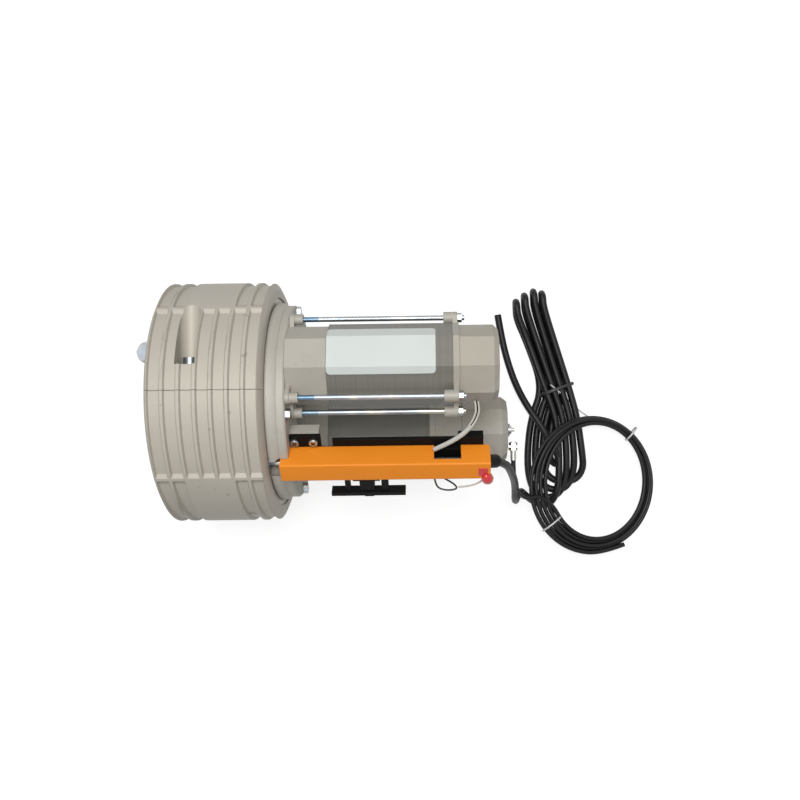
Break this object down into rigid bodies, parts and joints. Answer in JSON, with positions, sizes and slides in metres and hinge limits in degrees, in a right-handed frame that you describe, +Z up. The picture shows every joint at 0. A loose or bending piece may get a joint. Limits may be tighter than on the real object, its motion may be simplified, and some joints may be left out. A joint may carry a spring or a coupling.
{
  "type": "roller shutter motor",
  "caption": "Central roller shutter drive: split grooved drum turned round the shutter's shaft by a pair of side motors, with limit switch, brake and cords.",
  "frame": {"origin": "on the shaft's axis, in the plane of the drum's left rim", "axes": "+X along the shaft from the clamp to the motors, +Z up as the unit lies on its drum, +Y away from the viewer of the picture's lower edge"},
  "size_m": [0.5369, 0.3082, 0.24],
  "materials": {
    "drum_metal": "cast, lightly machined, satin",
    "zinc": "zinc plated",
    "gear_steel": "machined and oiled",
    "housing": "die cast, satin",
    "slide_plastic": "smooth",
    "lamination": "dark lacquer over laminations",
    "copper": "enamelled copper wire",
    "bearing_steel": "ground",
    "friction": "brake lining",
    "orange": "satin gloss",
    "black_plastic": "moulded",
    "nut_plastic": "moulded",
    "red_plastic": "glossy",
    "cable_black": "satin sheath",
    "sleeve_white": "silicone sleeve"
  },
  "bodies": {
    "gearbox": {"gearbox_body": "housing", "shaft_clamp_cap": "housing", "clamp_bolt": "zinc", "clamp_washer": "zinc", "gearbox_cover": "housing", "cover_screws": "zinc", "slide_ring_left": "slide_plastic", "slide_ring_right": "slide_plastic", "motor1_front_shield": "housing", "motor1_stator": "lamination", "motor1_windings": "copper", "motor1_end_bell": "housing", "motor1_tie_rods": "zinc", "motor1_nuts": "zinc", "motor1_bearings": "bearing_steel", "motor2_front_shield": "housing", "motor2_stator": "lamination", "motor2_windings": "copper", "motor2_end_bell": "housing", "motor2_tie_rods": "zinc", "motor2_nuts": "zinc", "motor2_bearings": "bearing_steel", "brake_cover": "housing", "brake_coil": "copper", "brake_bracket": "zinc", "limit_case": "orange", "limit_base": "black_plastic", "limit_base_screws": "zinc", "limit_switches": "black_plastic", "lock_guide": "black_plastic", "outlet_gland": "black_plastic", "red_cap": "red_plastic", "mains_cable": "cable_black", "mains_hank": "cable_black", "bowden_end": "zinc", "bowden_sheath": "cable_black", "bowden_coil": "cable_black", "lead_sleeve": "sleeve_white"},
    "drum": {"drum_upper_half": "drum_metal", "drum_lower_half": "drum_metal", "drum_joint_screws": "zinc", "ring_gear_upper_half": "gear_steel", "ring_gear_lower_half": "gear_steel", "ring_gear_screws": "zinc", "limit_ring": "black_plastic"},
    "layshaft_1": {"layshaft_1": "gear_steel"},
    "layshaft_2": {"layshaft_2": "gear_steel"},
    "rotor_1": {"motor1_rotor": "gear_steel"},
    "rotor_2": {"motor2_rotor": "gear_steel", "brake_disc": "friction"},
    "limit_screw": {"limit_screw": "gear_steel"},
    "limit_nut_down": {"limit_nut_down": "nut_plastic"},
    "limit_nut_up": {"limit_nut_up": "nut_plastic"},
    "lock_bar": {"lock_bar": "black_plastic"},
    "brake_armature": {"brake_armature": "gear_steel"},
    "brake_lever": {"brake_lever": "zinc"}
  },
  "joints": [
    {"name": "drum_spin", "type": "hinge", "parent": "gearbox", "child": "drum", "pos_m": [0, 0, 0], "axis": [1, 0, 0], "range_deg": [-720, 720]},
    {"name": "layshaft_1_spin", "type": "hinge", "parent": "gearbox", "child": "layshaft_1", "pos_m": [0, 0.00366, 0.0699], "axis": [1, 0, 0], "range_deg": [-4080, 4080]},
    {"name": "layshaft_2_spin", "type": "hinge", "parent": "gearbox", "child": "layshaft_2", "pos_m": [0, -0.00366, -0.0699], "axis": [1, 0, 0], "range_deg": [-4080, 4080]},
    {"name": "rotor_1_spin", "type": "hinge", "parent": "gearbox", "child": "rotor_1", "pos_m": [0, 0.03117, 0.06156], "axis": [1, 0, 0], "range_deg": [-14688, 14688]},
    {"name": "rotor_2_spin", "type": "hinge", "parent": "gearbox", "child": "rotor_2", "pos_m": [0, -0.03117, -0.06156], "axis": [1, 0, 0], "range_deg": [-14688, 14688]},
    {"name": "limit_screw_spin", "type": "hinge", "parent": "gearbox", "child": "limit_screw", "pos_m": [0, -0.0608, 0.06635], "axis": [1, 0, 0], "range_deg": [-7200, 7200]},
    {"name": "limit_nut_down_slide", "type": "slide", "parent": "gearbox", "child": "limit_nut_down", "axis": [1, 0, 0], "range_m": [-0.03, 0.03]},
    {"name": "limit_nut_up_slide", "type": "slide", "parent": "gearbox", "child": "limit_nut_up", "axis": [1, 0, 0], "range_m": [-0.03, 0.03]},
    {"name": "lock_bar_press", "type": "slide", "parent": "gearbox", "child": "lock_bar", "axis": [0, 0.7373, 0.6756], "range_m": [0, 0.0035], "stiffness_N_per_m": 400, "springref_m": -0.004},
    {"name": "brake_lever_pull", "type": "hinge", "parent": "gearbox", "child": "brake_lever", "pos_m": [0, -0.03117, -0.06156], "axis": [1, 0, 0], "range_deg": [0, 20], "stiffness_Nm_per_rad": 0.5, "springref_deg": -11.46},
    {"name": "brake_armature_lift", "type": "slide", "parent": "gearbox", "child": "brake_armature", "axis": [1, 0, 0], "range_m": [0, 0.0009]}
  ],
  "couplings": [
    {"joint": "layshaft_1_spin", "follows": "drum_spin", "ratio": 5.6667},
    {"joint": "layshaft_2_spin", "follows": "drum_spin", "ratio": 5.6667},
    {"joint": "rotor_1_spin", "follows": "drum_spin", "ratio": -20.4},
    {"joint": "rotor_2_spin", "follows": "drum_spin", "ratio": -20.4},
    {"joint": "limit_screw_spin", "follows": "drum_spin", "ratio": 10},
    {"joint": "limit_nut_down_slide", "follows": "drum_spin", "m_per_rad": -0.0023873},
    {"joint": "limit_nut_up_slide", "follows": "drum_spin", "m_per_rad": -0.0023873},
    {"joint": "brake_lever_pull", "follows": "brake_armature_lift", "rad_per_m": 387.85}
  ]
}
